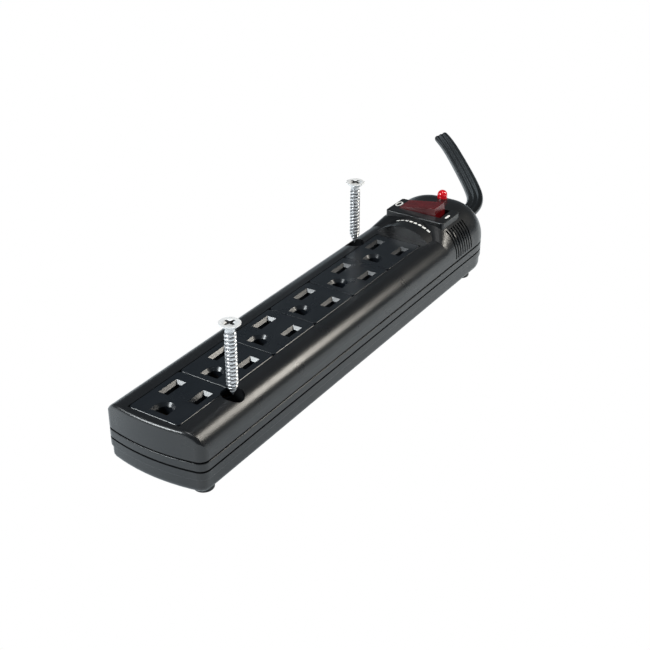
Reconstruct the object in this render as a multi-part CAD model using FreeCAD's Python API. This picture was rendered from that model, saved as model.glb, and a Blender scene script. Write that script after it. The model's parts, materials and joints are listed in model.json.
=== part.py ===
import FreeCAD, Part
import math
import os

# A six-outlet power strip with a surge board, a lit rocker switch and a flat mains cord.
# Millimetres. X across the strip, Y along it towards the cord, Z up.
# The origin is under the middle of the case, on the plane that the feet stand on.

V = FreeCAD.Vector

# ---- driving dimensions ----
LENGTH = 228.0
WIDTH = 44.0
FRONT_Y = -LENGTH / 2
REAR_Y = LENGTH / 2
HALF_W = WIDTH / 2
CROWN = 3.0              # how far the front end bulges
FRONT_CORNER_R = 4.0     # plan radius of the two front corners
FRONT_EDGE_R = 1.6       # rounding along the cover's front edge
REAR_CORNER_R = 18.0     # plan radius of the two rear corners
WALL = 2.0
CASE_BOTTOM_Z = 2.5
CASE_FLOOR = 2.0
RIDGE_Z = 8.5            # below this the case steps in
RIDGE_STEP = 0.5
CASE_EDGE_R = 2.5
GROOVE_Z = 12.0          # middle of the lower decorative groove
GROOVE_W = 0.8
GROOVE_DEPTH = 0.9
CASE_TOP_Z = 15.5        # the parting gap is from here to COVER_BASE_Z
COVER_BASE_Z = 16.3
HEM_R = 0.3              # the case's edges along the gap and the ridge are eased
LIP_TOP_Z = 17.7
PANEL_Z = 27.5
SHOULDER_R = 8.0
DOME_Z = 33.5
DOME_R = 16.0
RAMP_Y0 = 67.7           # the shoulders start to rise here
RAMP_Y1 = 76.2           # and reach the switch dome here

# outlets
N_OUTLETS = 6
PITCH = 28.36
OUTLETS_MID_Y = -21.3    # middle of the row, measured at the blade slots
TILE_NEAR = 18.3         # from the blade slots to the tile's near edge
TILE_HALF_W = 11.5
TILE_GAP = 0.25
TILE_T = 3.2
TILE_CORNER_R = 1.6
TILE_EDGE = 0.12         # chamfer round the tile's top
FLANGE_T = 1.2
FLANGE_REACH = 1.7
BLADE_X = 6.35           # half of the 12.7 mm between blade slots
GROUND_BACK = 11.9       # from the blade slots to the ground hole
SLOT_W = 2.3
NEUTRAL_L = 8.2
LINE_L = 6.8
SLOT_BEVEL = 0.98        # how far the bevel stands out round a slot
BEVEL_DEPTH = 1.3
GROUND_R = 2.8

# switch end
HOOD_Y0 = 63.2
HOOD_Y1 = 75.0
HOOD_HALF_W = 13.0
HOOD_RISE = 5.0
PLATFORM_Y0 = 73.7
PLATFORM_Y1 = 89.7
PLATFORM_HALF_W = 15.0
PLATFORM_Z = 33.7
PLATFORM_ROOT_Z = 26.5
ROCKER_Y = 83.6
ROCKER_HALF_W = 4.6
PIVOT_Z = 26.7
ROCKER_ROOM_R = 12.9     # the hole that the rocker's ends swing in
ROCKER_TOP = 9.3         # from pivot to top face
ROCKER_HALF_L = 9.2
ROCKER_TILT = 9.5        # degrees each side of level
ROCKER_PIN_R = 1.4
LEVER_TILT = 5.7
LEVER_PIVOT_Z = 17.1
LED_Y = 101.1
LED_R = 2.35
LED_DOME_Z = 34.8
LED_BASE_Z = 27.5
VENT_COUNT = 8
VENT_Y0 = 75.2
VENT_PITCH = 2.1
VENT_W = 1.0
VENT_DEPTH = 0.7
VENT_TOP_Z = 29.9

# mounting screws and their wells
WELLS = {"front": (14.6, -84.1), "rear": (-15.4, 46.9)}
WELL_R = 4.25
WELL_WALL = 1.3
SHANK_HOLE_R = 2.65
SEAT_Z = 8.8             # bottom of the countersink
SEAT_TOP_Z = 10.9
SCREW_L = 29.0
SCREW_HEAD_R = 4.05
SCREW_HEAD_H = 2.4
SCREW_CORE_R = 1.85
SCREW_THREAD_R = 2.2
SCREW_PITCH = 2.1
SCREW_TIP_Z = PANEL_Z    # both stand with their tips just over the holes

# case screws
POST_R = 2.8
POSTS = [(x, y) for y in (-95.5, -28.0) for x in (-16.2, 16.2)] + [(-12.5, 99.0), (12.5, 99.0)]
POST_TOP_Z = 15.9
CASE_SCREW_L = 15.6

FOOT_R = 3.9
FOOT_X = 15.8
FOOT_YS = (-104.4, 93.0)

# cord
CORD_W = 8.4
CORD_T = 3.6
EXIT_Z = 15.1
RELIEF_OUT = 14.0        # how far the strain relief stands out of the case
LEAD_ROUTE = [            # from the strain relief, down to the floor and round to the coil
    (0.0, 128.0, 15.1),
    (0.0, 136.6, 15.1),
    (-2.1, 147.8, 14.6),
    (-7.0, 158.7, 13.2),
    (-15.0, 170.5, 11.2),
    (-31.5, 193.5, 7.6),
    (-50.5, 218.5, 4.4),
    (-68.8, 239.4, 2.6),
    (-93.0, 252.0, 1.9),
    (-109.0, 273.5, 1.9),
    (-116.0, 296.5, 1.9),
    (-114.5, 320.5, 2.1),
    (-109.0, 343.5, 2.7),
]
COIL_X = -56.0
COIL_Y = 336.7
TURN_R = 44.6            # middle of the turns
COIL_R_IN = 31.7
COIL_R_OUT = 57.5
COIL_Z0 = 0.9            # the strap passes under the turns
COIL_Z1 = 8.5
TAIL_TURNS = [           # degrees round the coil, radius, height: up to the plug
    (152.0, 44.6, 6.2),
    (134.0, 44.6, 9.8),
    (116.0, 44.6, 13.8),
    (98.0, 44.4, 17.3),
    (80.0, 44.0, 19.05),
]
TIE_ANGLE = 300.0
TIE_W = 9.0
TIE_T = 0.8

# cord clamp inside the case
CLAMP_HALF_W = 9.4
CLAMP_Y0 = 97.0
CLAMP_Y1 = 102.0
CLAMP_MID_Y = (CLAMP_Y0 + CLAMP_Y1) / 2
CLAMP_SCREW_X = 6.9
CLAMP_TOP_Z = 20.1
CLAMP_SCREW_L = 12.0
JACKET_Y0 = 95.6         # the jacket is stripped from here inwards

# contacts
BAR_Z0 = 12.5
BAR_T = 0.8
CLIP_TOP = 22.1
WIRE_R = 1.2
BAR_Y0 = -107.0
BAR_Y1 = 59.2
HOUSING_Z0 = 14.0
HOUSING_Z1 = 28.4
TERMINAL_Z0 = 8.8
TERMINAL_TOP_Z = 15.5
TERMINAL_XS = (-8.6, 0.0, 8.6)

# surge board
BOARD_Z = 10.5
BOARD_T = 1.6
BOARD_Y0 = 61.2
BOARD_Y1 = 75.2

# plug, lying on its side along its own +Y until it is turned onto the coil
PLUG_H = 21.0
PLUG_W = 27.0
PLUG_BACK = 9.0          # length of its own strain relief
PLUG_L = 32.0
PLUG_BLADE_X = -4.5
PLUG_PIN_X = PLUG_BLADE_X + GROUND_BACK


def box(x0, x1, y0, y1, z0, z1):
    return Part.makeBox(x1 - x0, y1 - y0, z1 - z0, V(x0, y0, z0))


def cyl_z(x, y, r, z0, z1):
    return Part.makeCylinder(r, z1 - z0, V(x, y, z0))


def cyl_y(x, z, r, y0, y1):
    return Part.makeCylinder(r, y1 - y0, V(x, y0, z), V(0, 1, 0))


def cyl_x(y, z, r, x0, x1):
    return Part.makeCylinder(r, x1 - x0, V(x0, y, z), V(1, 0, 0))


def cone_z(x, y, r0, r1, z0, z1):
    return Part.makeCone(r0, r1, z1 - z0, V(x, y, z0))


def line(a, b):
    return Part.LineSegment(a, b).toShape()


def arc(a, m, b):
    return Part.Arc(a, m, b).toShape()


def prism(edges, way):
    return Part.Face(Part.Wire(edges)).extrude(way)


def fuse_all(shapes):
    return shapes[0].multiFuse(shapes[1:]).removeSplitter() if len(shapes) > 1 else shapes[0]


def edges_where(shape, test):
    return [e for e in shape.Edges if test(e)]


def middle(edge):
    return edge.valueAt((edge.FirstParameter + edge.LastParameter) / 2)


def outline(inset, z, y_rear=None, y_front=None):
    """Plan outline of the case at height z, with the crowned front and the round rear corners."""
    w = HALF_W - inset
    yf = FRONT_Y + inset if y_front is None else y_front
    crown = CROWN if y_front is None else 0.0
    edges = []
    front_left = V(-w, yf + crown, z)
    front_right = V(w, yf + crown, z)
    if y_rear is None:
        r = REAR_CORNER_R - inset
        yr = REAR_Y - inset
        q = r * (1 - math.sqrt(0.5))
        edges += [line(front_right, V(w, yr - r, z))]
        edges += [arc(V(w, yr - r, z), V(w - q, yr - q, z), V(w - r, yr, z))]
        edges += [line(V(w - r, yr, z), V(r - w, yr, z))]
        edges += [arc(V(r - w, yr, z), V(q - w, yr - q, z), V(-w, yr - r, z))]
        edges += [line(V(-w, yr - r, z), front_left)]
    else:
        edges += [line(front_right, V(w, y_rear, z))]
        edges += [line(V(w, y_rear, z), V(-w, y_rear, z))]
        edges += [line(V(-w, y_rear, z), front_left)]
    if crown:
        edges += [arc(front_left, V(0, yf, z), front_right)]
    else:
        edges += [line(front_left, front_right)]
    return edges


def upright(edge):
    a, b = edge.Vertexes[0].Point, edge.Vertexes[-1].Point
    return abs(a.x - b.x) < 0.01 and abs(a.y - b.y) < 0.01


def front_corners(body, inset):
    """Rounds the two upright corners where the crowned front meets the sides."""
    corners = edges_where(
        body,
        lambda e: upright(e) and abs(middle(e).y - (FRONT_Y + inset + CROWN)) < 0.01
        and abs(abs(middle(e).x) - (HALF_W - inset)) < 0.01,
    )
    return body.makeFillet(max(FRONT_CORNER_R - inset, 0.5), corners)


def on_front_rim(edge, base):
    """True all round the front face of the cover but for its lower edge."""
    at_front = max(v.Point.y for v in edge.Vertexes) < FRONT_Y + CROWN + 0.01
    return at_front and middle(edge).z > base + 0.01


def slab(inset, z0, z1):
    """The case's plan outline between two heights, with its front corners rounded."""
    return front_corners(prism(outline(inset, z0), V(0, 0, z1 - z0)), inset)


def section(y, inset, top, radius, base):
    """Cross-section of the cover: straight sides, round shoulders and a flat top."""
    w = HALF_W - inset
    q = radius * (1 - math.sqrt(0.5))
    return Part.Wire([
        line(V(-w, y, base), V(-w, y, top - radius)),
        arc(V(-w, y, top - radius), V(q - w, y, top - q), V(radius - w, y, top)),
        line(V(radius - w, y, top), V(w - radius, y, top)),
        arc(V(w - radius, y, top), V(w - q, y, top - q), V(w, y, top - radius)),
        line(V(w, y, top - radius), V(w, y, base)),
        line(V(w, y, base), V(-w, y, base)),
    ])


def cover_solid(inset, base):
    """Outside of the cover, or its inside when inset is the wall."""
    low_top = PANEL_Z - inset
    low_r = SHOULDER_R - inset
    high_top = DOME_Z - inset
    high_r = DOME_R - inset
    plan = prism(outline(inset, base, y_rear=RAMP_Y0), V(0, 0, low_top - base))
    bar = Part.Face(section(FRONT_Y - 1.0, inset, low_top, low_r, base))
    run = bar.extrude(V(0, RAMP_Y0 - FRONT_Y + 2.0, 0)).common(plan)
    if not inset:
        run = run.makeFillet(FRONT_EDGE_R, edges_where(run, lambda e: on_front_rim(e, base)))
    run = run.common(front_corners(plan, inset))
    ramp = Part.makeLoft([
        section(RAMP_Y0, inset, low_top, low_r, base),
        section(RAMP_Y1, inset, high_top, high_r, base),
    ], True, True)
    dome = prism(outline(inset, base, y_front=RAMP_Y1), V(0, 0, high_top - base))
    rim = edges_where(
        dome,
        lambda e: abs(middle(e).z - high_top) < 0.01 and middle(e).y > RAMP_Y1 + 0.01,
    )
    dome = dome.makeFillet(high_r, rim)
    return fuse_all([run, ramp, dome])


def hood():
    """The arched hump between the last outlet and the switch."""
    w = HOOD_HALF_W
    face = Part.Face(Part.Wire([
        arc(V(-w, HOOD_Y0, PANEL_Z), V(0, HOOD_Y0, PANEL_Z + HOOD_RISE), V(w, HOOD_Y0, PANEL_Z)),
        line(V(w, HOOD_Y0, PANEL_Z), V(w, HOOD_Y0, PANEL_Z - 1.5)),
        line(V(w, HOOD_Y0, PANEL_Z - 1.5), V(-w, HOOD_Y0, PANEL_Z - 1.5)),
        line(V(-w, HOOD_Y0, PANEL_Z - 1.5), V(-w, HOOD_Y0, PANEL_Z)),
    ]))
    return face.extrude(V(0, HOOD_Y1 - HOOD_Y0, 0))


def platform():
    """The flat-topped block that the rocker sits in, with an ear each side for its marks."""
    w = PLATFORM_HALF_W
    block = box(-w, w, PLATFORM_Y0, PLATFORM_Y1, PLATFORM_ROOT_Z, PLATFORM_Z)
    upright = edges_where(block, lambda e: abs(middle(e).z - (PLATFORM_ROOT_Z + PLATFORM_Z) / 2) < 0.01)
    block = block.makeFillet(1.2, upright)
    top = edges_where(block, lambda e: abs(middle(e).z - PLATFORM_Z) < 0.01)
    return block.makeFillet(0.5, top)


def outlet_y(i):
    return OUTLETS_MID_Y + (i - (N_OUTLETS + 1) / 2) * PITCH


def panel_y0():
    return outlet_y(1) - TILE_NEAR


def panel_y1():
    return outlet_y(N_OUTLETS) - TILE_NEAR + PITCH


def vent_cuts():
    """Short grooves over both shoulders beside the switch."""
    cuts = []
    outer = cover_solid(0.0, COVER_BASE_Z)
    inner = cover_solid(VENT_DEPTH, COVER_BASE_Z)
    skin = outer.cut(inner)
    for side in (-1, 1):
        for k in range(VENT_COUNT):
            y = VENT_Y0 + k * VENT_PITCH
            x0, x1 = sorted((side * 15.6, side * 23.0))
            blade = box(x0, x1, y - VENT_W / 2, y + VENT_W / 2, COVER_BASE_Z + 1.0, VENT_TOP_Z)
            cuts.append(blade.common(skin))
    return cuts


def neck(y0, y1, grow):
    """The oval neck of the strain relief, or the hole for it."""
    w = 11.4 / 2 + grow
    h = 8.4 / 2 + grow
    block = box(-w, w, y0, y1, EXIT_Z - h, EXIT_Z + h)
    along = edges_where(block, lambda e: abs(middle(e).y - (y0 + y1) / 2) < 0.01)
    return block.makeFillet(3.6, along)


def top_cover():
    shell = fuse_all([cover_solid(0.0, COVER_BASE_Z), hood(), platform()])
    shell = shell.cut(cover_solid(WALL, COVER_BASE_Z - 1.0))
    posts = []
    for x, y in POSTS:
        posts.append(cyl_z(x, y, POST_R, POST_TOP_Z, DOME_Z))
    for x, y in WELLS.values():
        posts.append(cyl_z(x, y, WELL_R + WELL_WALL, CASE_TOP_Z, PANEL_Z))
    inside = cover_solid(0.4, CASE_TOP_Z - 1.0)
    shell = fuse_all([shell] + [p.common(inside) for p in posts])
    cuts = [box(-TILE_HALF_W, TILE_HALF_W, panel_y0(), panel_y1(), PANEL_Z - WALL - 2.0, PANEL_Z + 1.0)]
    for x, y in WELLS.values():
        cuts.append(cyl_z(x, y, WELL_R, CASE_TOP_Z - 1.0, PANEL_Z + 1.0))
    for x, y in POSTS:
        cuts.append(cyl_z(x, y, 1.1, POST_TOP_Z - 1.0, POST_TOP_Z + 6.0))
    cuts.append(cyl_y(0, PIVOT_Z, ROCKER_ROOM_R, ROCKER_Y - ROCKER_HALF_W - 0.35,
                      ROCKER_Y + ROCKER_HALF_W + 0.35))
    cuts.append(cyl_z(0, LED_Y, LED_R + 0.15, DOME_Z - 6.0, DOME_Z + 2.0))
    cuts.append(neck(REAR_Y - 6.0, REAR_Y + 2.0, 0.05))
    return shell.cut(cuts + vent_cuts())


def bottom_case():
    groove0 = GROOVE_Z - GROOVE_W / 2
    groove1 = GROOVE_Z + GROOVE_W / 2
    foot_part = slab(RIDGE_STEP, CASE_BOTTOM_Z, RIDGE_Z)
    rim = edges_where(foot_part, lambda e: abs(middle(e).z - CASE_BOTTOM_Z) < 0.01)
    foot_part = foot_part.makeFillet(CASE_EDGE_R, rim)
    band = slab(0.0, RIDGE_Z, groove0)
    band = band.makeFillet(HEM_R, edges_where(band, lambda e: abs(middle(e).z - RIDGE_Z) < 0.01))
    top_band = slab(0.0, groove1, CASE_TOP_Z)
    top_band = top_band.makeFillet(HEM_R, edges_where(top_band, lambda e: abs(middle(e).z - CASE_TOP_Z) < 0.01))
    shell = fuse_all([
        foot_part,
        band,
        slab(GROOVE_DEPTH, groove0, groove1),
        top_band,
        slab(WALL + 0.15, CASE_TOP_Z, LIP_TOP_Z),
    ])
    cavity = slab(WALL + 0.2, CASE_BOTTOM_Z + CASE_FLOOR, CASE_TOP_Z - 0.6)
    cavity = cavity.fuse(slab(WALL + 1.2, CASE_TOP_Z - 0.6, LIP_TOP_Z + 1.0))
    reliefs = []
    for x, y in WELLS.values():
        reliefs.append(cyl_z(x, y, WELL_R + WELL_WALL + 0.1, CASE_TOP_Z - 0.1, LIP_TOP_Z + 1.0))
    for x, y in POSTS:
        reliefs.append(cyl_z(x, y, POST_R + 0.1, POST_TOP_Z - 0.1, LIP_TOP_Z + 1.0))
    shell = shell.cut([cavity] + reliefs)
    root_z = CASE_BOTTOM_Z + 1.5
    adds = [box(-CLAMP_HALF_W, CLAMP_HALF_W, CLAMP_Y0 + 0.2, CLAMP_Y1 - 0.2, root_z,
                EXIT_Z - CORD_T / 2 - 0.05)]
    for side in (-1, 1):
        adds.append(box(side * 12.5 - 0.75, side * 12.5 + 0.75, ROCKER_Y - 4.6, ROCKER_Y + 4.4,
                        root_z, HOUSING_Z0))
        for y in (BOARD_Y0 + 2.0, BOARD_Y1 - 2.0):
            adds.append(cyl_z(side * 10.5, y, 1.6, root_z, BOARD_Z))
    for x, y in POSTS:
        adds.append(cyl_z(x, y, POST_R, root_z, POST_TOP_Z - 0.1))
    for x, y in WELLS.values():
        adds.append(cyl_z(x, y, WELL_R + WELL_WALL, root_z, CASE_TOP_Z - 0.1))
    for i in range(1, N_OUTLETS + 1):
        y = outlet_y(i) - TILE_NEAR + 1.5
        adds.append(box(-8.1, 8.1, y - 0.75, y + 0.75, root_z, BAR_Z0))
    inside = slab(1.2, CASE_BOTTOM_Z + 0.3, LIP_TOP_Z + 1.0)
    shell = fuse_all([shell] + [a.common(inside) for a in adds])
    cuts = []
    for x, y in WELLS.values():
        cuts.append(cyl_z(x, y, SHANK_HOLE_R, CASE_BOTTOM_Z - 1.0, CASE_TOP_Z + 1.0))
        cuts.append(cone_z(x, y, SHANK_HOLE_R, WELL_R, SEAT_Z, SEAT_TOP_Z))
        cuts.append(cyl_z(x, y, WELL_R, SEAT_TOP_Z, CASE_TOP_Z + 4.0))
    for x, y in POSTS:
        cuts.append(cyl_z(x, y, 1.55, CASE_BOTTOM_Z - 1.0, POST_TOP_Z + 1.0))
        cuts.append(cyl_z(x, y, 2.75, CASE_BOTTOM_Z - 1.0, CASE_BOTTOM_Z + 1.6))
    for x in (-CLAMP_SCREW_X, CLAMP_SCREW_X):
        cuts.append(cyl_z(x, CLAMP_MID_Y, 1.3, CASE_BOTTOM_Z + 3.0, CASE_TOP_Z))
    cuts.append(neck(REAR_Y - 6.0, REAR_Y + 2.0, 0.05))
    return shell.cut(cuts)


def slot_cut(x, y, length):
    """A blade slot with its bevelled mouth."""
    def ring(grow, z):
        w = SLOT_W / 2 + grow
        h = length / 2 + grow
        return Part.makePolygon([V(x - w, y - h, z), V(x + w, y - h, z), V(x + w, y + h, z),
                                 V(x - w, y + h, z), V(x - w, y - h, z)])
    mouth = Part.makeLoft([ring(0.0, PANEL_Z - BEVEL_DEPTH), ring(SLOT_BEVEL, PANEL_Z)], True, True)
    top = Part.Face(ring(SLOT_BEVEL, PANEL_Z)).extrude(V(0, 0, 1))
    through = box(x - SLOT_W / 2, x + SLOT_W / 2, y - length / 2, y + length / 2,
                  PANEL_Z - 8.0, PANEL_Z - BEVEL_DEPTH)
    return fuse_all([mouth, top, through])


def ground_cut(y):
    """The ground hole: an arch towards the blades and a flat side away from them."""
    def ring(grow, z):
        r = GROUND_R + grow
        low = y - 2.4 - grow
        return Part.Wire([
            line(V(-r, low, z), V(r, low, z)),
            line(V(r, low, z), V(r, y, z)),
            arc(V(r, y, z), V(0, y + r, z), V(-r, y, z)),
            line(V(-r, y, z), V(-r, low, z)),
        ])
    mouth = Part.makeLoft([ring(0.0, PANEL_Z - BEVEL_DEPTH), ring(SLOT_BEVEL, PANEL_Z)], True, True)
    top = Part.Face(ring(SLOT_BEVEL, PANEL_Z)).extrude(V(0, 0, 1))
    through = Part.Face(ring(0.0, PANEL_Z - 8.0)).extrude(V(0, 0, 8.0 - BEVEL_DEPTH))
    return fuse_all([mouth, top, through])


def outlet_face(i):
    y0 = outlet_y(i) - TILE_NEAR + TILE_GAP / 2
    y1 = y0 + PITCH - TILE_GAP
    w = TILE_HALF_W - TILE_GAP
    plate = box(-w, w, y0, y1, PANEL_Z - TILE_T, PANEL_Z)
    upright = edges_where(plate, lambda e: abs(middle(e).z - PANEL_Z + TILE_T / 2) < 0.01)
    plate = plate.makeFillet(TILE_CORNER_R, upright)
    rim = edges_where(plate, lambda e: abs(middle(e).z - PANEL_Z) < 0.01)
    plate = plate.makeChamfer(TILE_EDGE, rim)
    f = TILE_HALF_W + FLANGE_REACH
    flange_z1 = PANEL_Z - WALL - 0.1
    parts = [plate, box(-f, f, y0 + 1.0, y1 - 1.0, flange_z1 - FLANGE_T, flange_z1)]
    yb = outlet_y(i)
    for x in (-BLADE_X, BLADE_X):
        parts.append(box(x - 2.4, x + 2.4, yb - 5.2, yb + 5.2, PANEL_Z - 4.8, PANEL_Z - TILE_T + 0.2))
    yg = yb - GROUND_BACK
    parts.append(box(-4.2, 4.2, yg - 3.8, yg + 4.2, PANEL_Z - 4.8, PANEL_Z - TILE_T + 0.2))
    body = fuse_all(parts)
    cuts = [slot_cut(-BLADE_X, yb, NEUTRAL_L), slot_cut(BLADE_X, yb, LINE_L), ground_cut(yg)]
    for x, y in WELLS.values():
        cuts.append(cyl_z(x, y, WELL_R + WELL_WALL + 0.05, PANEL_Z - 9.0, PANEL_Z - 0.9))
        cuts.append(cyl_z(x, y, WELL_R + 0.35, PANEL_Z - 1.0, PANEL_Z + 1.0))
    return body.cut(cuts)


# ---- contacts ----
def bus_bar(x, strip_half, jaw_gap, jaw_t, jaw_half_y, shift):
    """A flat strip with a pair of spring jaws under each outlet, cut and bent from one sheet."""
    parts = [box(x - strip_half, x + strip_half, BAR_Y0, BAR_Y1, BAR_Z0, BAR_Z0 + BAR_T)]
    for i in range(1, N_OUTLETS + 1):
        y = outlet_y(i) + shift
        for side in (-1, 1):
            a = side * jaw_gap
            b = side * (jaw_gap + jaw_t)
            x0, x1 = sorted((x + a, x + b))
            parts.append(box(x0, x1, y - jaw_half_y, y + jaw_half_y, BAR_Z0, CLIP_TOP))
    return fuse_all(parts)


def line_bus_bar():
    return bus_bar(BLADE_X, 1.75, 0.8, 0.7, 3.6, 0.0)


def neutral_bus_bar():
    return bus_bar(-BLADE_X, 1.75, 0.8, 0.7, 3.6, 0.0)


def ground_bus_bar():
    return bus_bar(0.0, 3.1, 2.4, 0.7, 2.6, -GROUND_BACK)


# ---- switch ----
def about_pivot(shape, degrees, z):
    """Turn a switch part about an axis along Y through (0, z)."""
    turned = shape.copy()
    turned.rotate(V(0, 0, z), V(0, 1, 0), degrees)
    return turned


def switch_housing():
    y0 = ROCKER_Y - 6.6
    y1 = ROCKER_Y + 6.6
    z0 = HOUSING_Z0
    body = box(-14.0, 14.0, y0, y1, z0, HOUSING_Z1)
    room = cyl_y(0, PIVOT_Z, ROCKER_ROOM_R, ROCKER_Y - 4.95, ROCKER_Y + 4.95)
    room = room.common(box(-13.0, 13.0, y0, y1, PIVOT_Z - 3.4, PLATFORM_Z))
    well = box(-10.5, 10.5, ROCKER_Y - 4.0, ROCKER_Y + 4.0, z0 + 1.5, PIVOT_Z)
    pins = cyl_y(0, PIVOT_Z, ROCKER_PIN_R + 0.06, y0 + 0.5, y1 - 0.5)
    slots = [box(x - 0.45, x + 0.45, ROCKER_Y - 2.45, ROCKER_Y + 2.45, z0 - 1.0, z0 + 2.0)
             for x in TERMINAL_XS]
    return body.cut([room, well, pins] + slots)


def switch_rocker():
    """The rocker, made level and then turned to its resting tilt, far side up."""
    y0 = ROCKER_Y - ROCKER_HALF_W
    y1 = ROCKER_Y + ROCKER_HALF_W
    a = ROCKER_HALF_L
    top = PIVOT_Z + ROCKER_TOP
    low = PIVOT_Z + 4.2
    foot = PIVOT_Z + 1.2
    corners = [V(-a, y0, top), V(a, y0, top), V(a, y0, low), V(8.6, y0, foot), V(-8.6, y0, foot), V(-a, y0, low)]
    cap = Part.Face(Part.makePolygon(corners + corners[:1])).extrude(V(0, y1 - y0, 0))
    rim = edges_where(cap, lambda e: abs(middle(e).z - top) < 0.01)
    cap = cap.makeFillet(0.25, rim)
    hub = cyl_y(0, PIVOT_Z, 3.0, y0, y1)
    sleeve = cyl_z(0, ROCKER_Y, 2.8, PIVOT_Z - 3.2, PIVOT_Z + 2.0)
    pins = cyl_y(0, PIVOT_Z, ROCKER_PIN_R, ROCKER_Y - 6.0, ROCKER_Y + 6.0)
    body = fuse_all([cap, hub, sleeve, pins])
    hollow = cyl_z(0, ROCKER_Y, 1.9, PIVOT_Z - 4.0, PIVOT_Z + 3.2)
    lamp_room = box(3.4, 7.4, ROCKER_Y - 2.4, ROCKER_Y + 2.4, PIVOT_Z + 1.0, PIVOT_Z + 6.6)
    return about_pivot(body.cut([hollow, lamp_room]), -ROCKER_TILT, PIVOT_Z)


def switch_plunger():
    stem = cyl_z(0, ROCKER_Y, 1.8, PIVOT_Z - 6.0, PIVOT_Z - 1.6)
    tip = Part.makeSphere(1.8, V(0, ROCKER_Y, PIVOT_Z - 6.0))
    bore = cyl_z(0, ROCKER_Y, 1.45, PIVOT_Z - 5.0, PIVOT_Z - 1.0)
    return about_pivot(stem.fuse(tip).cut(bore), -ROCKER_TILT, PIVOT_Z)


def switch_spring():
    wire_r = 0.22
    z0 = PIVOT_Z - 5.0 + wire_r
    z1 = PIVOT_Z + 3.2 - wire_r
    helix = Part.makeHelix(1.15, z1 - z0, 1.12)
    helix.translate(V(0, ROCKER_Y, z0))
    ring = Part.Wire(Part.makeCircle(wire_r, V(1.12, ROCKER_Y, z0), V(0, 1, 0)))
    coil = Part.Wire(helix.Edges).makePipeShell([ring], True, True)
    return about_pivot(coil, -ROCKER_TILT, PIVOT_Z)


def switch_lever():
    """The rocking contact, down on the side that the plunger leans to."""
    y0 = ROCKER_Y - 2.0
    y1 = ROCKER_Y + 2.0
    arm = box(-8.8, 8.8, y0, y1, LEVER_PIVOT_Z - 0.4, LEVER_PIVOT_Z + 0.4)
    knife = cyl_y(0, LEVER_PIVOT_Z - 0.2, 0.8, y0, y1)
    pads = [cyl_z(side * 7.6, ROCKER_Y, 1.3, LEVER_PIVOT_Z - 0.55, LEVER_PIVOT_Z - 0.3)
            for side in (-1, 1)]
    return about_pivot(fuse_all([arm, knife] + pads), LEVER_TILT, LEVER_PIVOT_Z)


def switch_terminals():
    blades = []
    for x in TERMINAL_XS:
        top = TERMINAL_TOP_Z if x else TERMINAL_TOP_Z + 0.4
        blades.append(box(x - 0.4, x + 0.4, ROCKER_Y - 2.4, ROCKER_Y + 2.4, TERMINAL_Z0, top))
    return Part.makeCompound(blades)


def neon_lamp():
    bulb = box(3.7, 7.1, ROCKER_Y - 2.1, ROCKER_Y + 2.1, PIVOT_Z + 1.8, PIVOT_Z + 6.2)
    ends = edges_where(bulb, lambda e: abs(middle(e).z - PIVOT_Z - 4.0) < 0.01)
    return about_pivot(bulb.makeFillet(1.2, ends), -ROCKER_TILT, PIVOT_Z)


def indicator_led():
    lens = fuse_all([
        cyl_z(0, LED_Y, LED_R, LED_BASE_Z, LED_DOME_Z),
        Part.makeSphere(LED_R, V(0, LED_Y, LED_DOME_Z)),
        cyl_z(0, LED_Y, LED_R + 0.45, LED_BASE_Z, LED_BASE_Z + 1.0),
    ])
    leads = [box(x - 0.25, x + 0.25, LED_Y - 0.25, LED_Y + 0.25, LED_BASE_Z - 5.0, LED_BASE_Z + 0.2)
             for x in (-1.27, 1.27)]
    return fuse_all([lens] + leads)


# ---- surge protection ----
def surge_board():
    return box(-12.5, 12.5, BOARD_Y0, BOARD_Y1, BOARD_Z, BOARD_Z + BOARD_T)


def varistor(k):
    x = (k - 2) * 8.6
    base = BOARD_Z + BOARD_T
    disc = cyl_y(x, base + 5.6, 4.1, 63.4, 66.9)
    rim = edges_where(disc, lambda e: abs(middle(e).y - 63.4) < 0.01 or abs(middle(e).y - 66.9) < 0.01)
    disc = disc.makeFillet(0.9, rim)
    leads = [cyl_z(x + s, 65.15, 0.4, base, base + 3.0) for s in (-2.0, 2.0)]
    return fuse_all([disc] + leads)


def axial_part(x0, x1, y, radius):
    """A part with a lead out of each end, bent down to the board."""
    base = BOARD_Z + BOARD_T
    z = base + radius + 0.6
    body = cyl_x(y, z, radius, x0, x1)
    leads = []
    for x, side in ((x0, -1), (x1, 1)):
        a, b = sorted((x, x + side * 1.6))
        leads.append(box(a, b, y - 0.3, y + 0.3, z - 0.3, z + 0.3))
        foot = x + side * 1.3
        leads.append(box(foot - 0.3, foot + 0.3, y - 0.3, y + 0.3, base, z + 0.3))
    return fuse_all([body] + leads)


def thermal_fuse():
    return axial_part(-10.0, -2.0, 71.6, 1.7)


def resistor():
    return axial_part(3.0, 8.6, 71.6, 1.2)


# ---- paths ----
def rounded_path(points, share=0.45):
    """Straight runs joined by tangent arcs. Returns the wire and the radius at each turn."""
    radii = []
    edges = []
    start = points[0]
    for k in range(1, len(points) - 1):
        a, b, c = points[k - 1], points[k], points[k + 1]
        u = (b - a).normalize()
        w = (c - b).normalize()
        turn = math.acos(max(-1.0, min(1.0, u.dot(w))))
        short = min((b - a).Length, (c - b).Length)
        radius = share * short / math.tan(turn / 2)
        trim = share * short
        p = b - u * trim
        q = b + w * trim
        inward = (w - u).normalize()
        centre = b + inward * (radius / math.cos(turn / 2))
        edges.append(line(start, p))
        edges.append(arc(p, centre - inward * radius, q))
        start = q
        radii.append(radius)
    edges.append(line(start, points[-1]))
    return Part.Wire(edges), radii


def round_tube(points, radius):
    wire, _ = rounded_path(points)
    way = points[1] - points[0]
    ring = Part.Wire(Part.makeCircle(radius, points[0], way))
    return wire.makePipeShell([ring], True, False)


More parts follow.
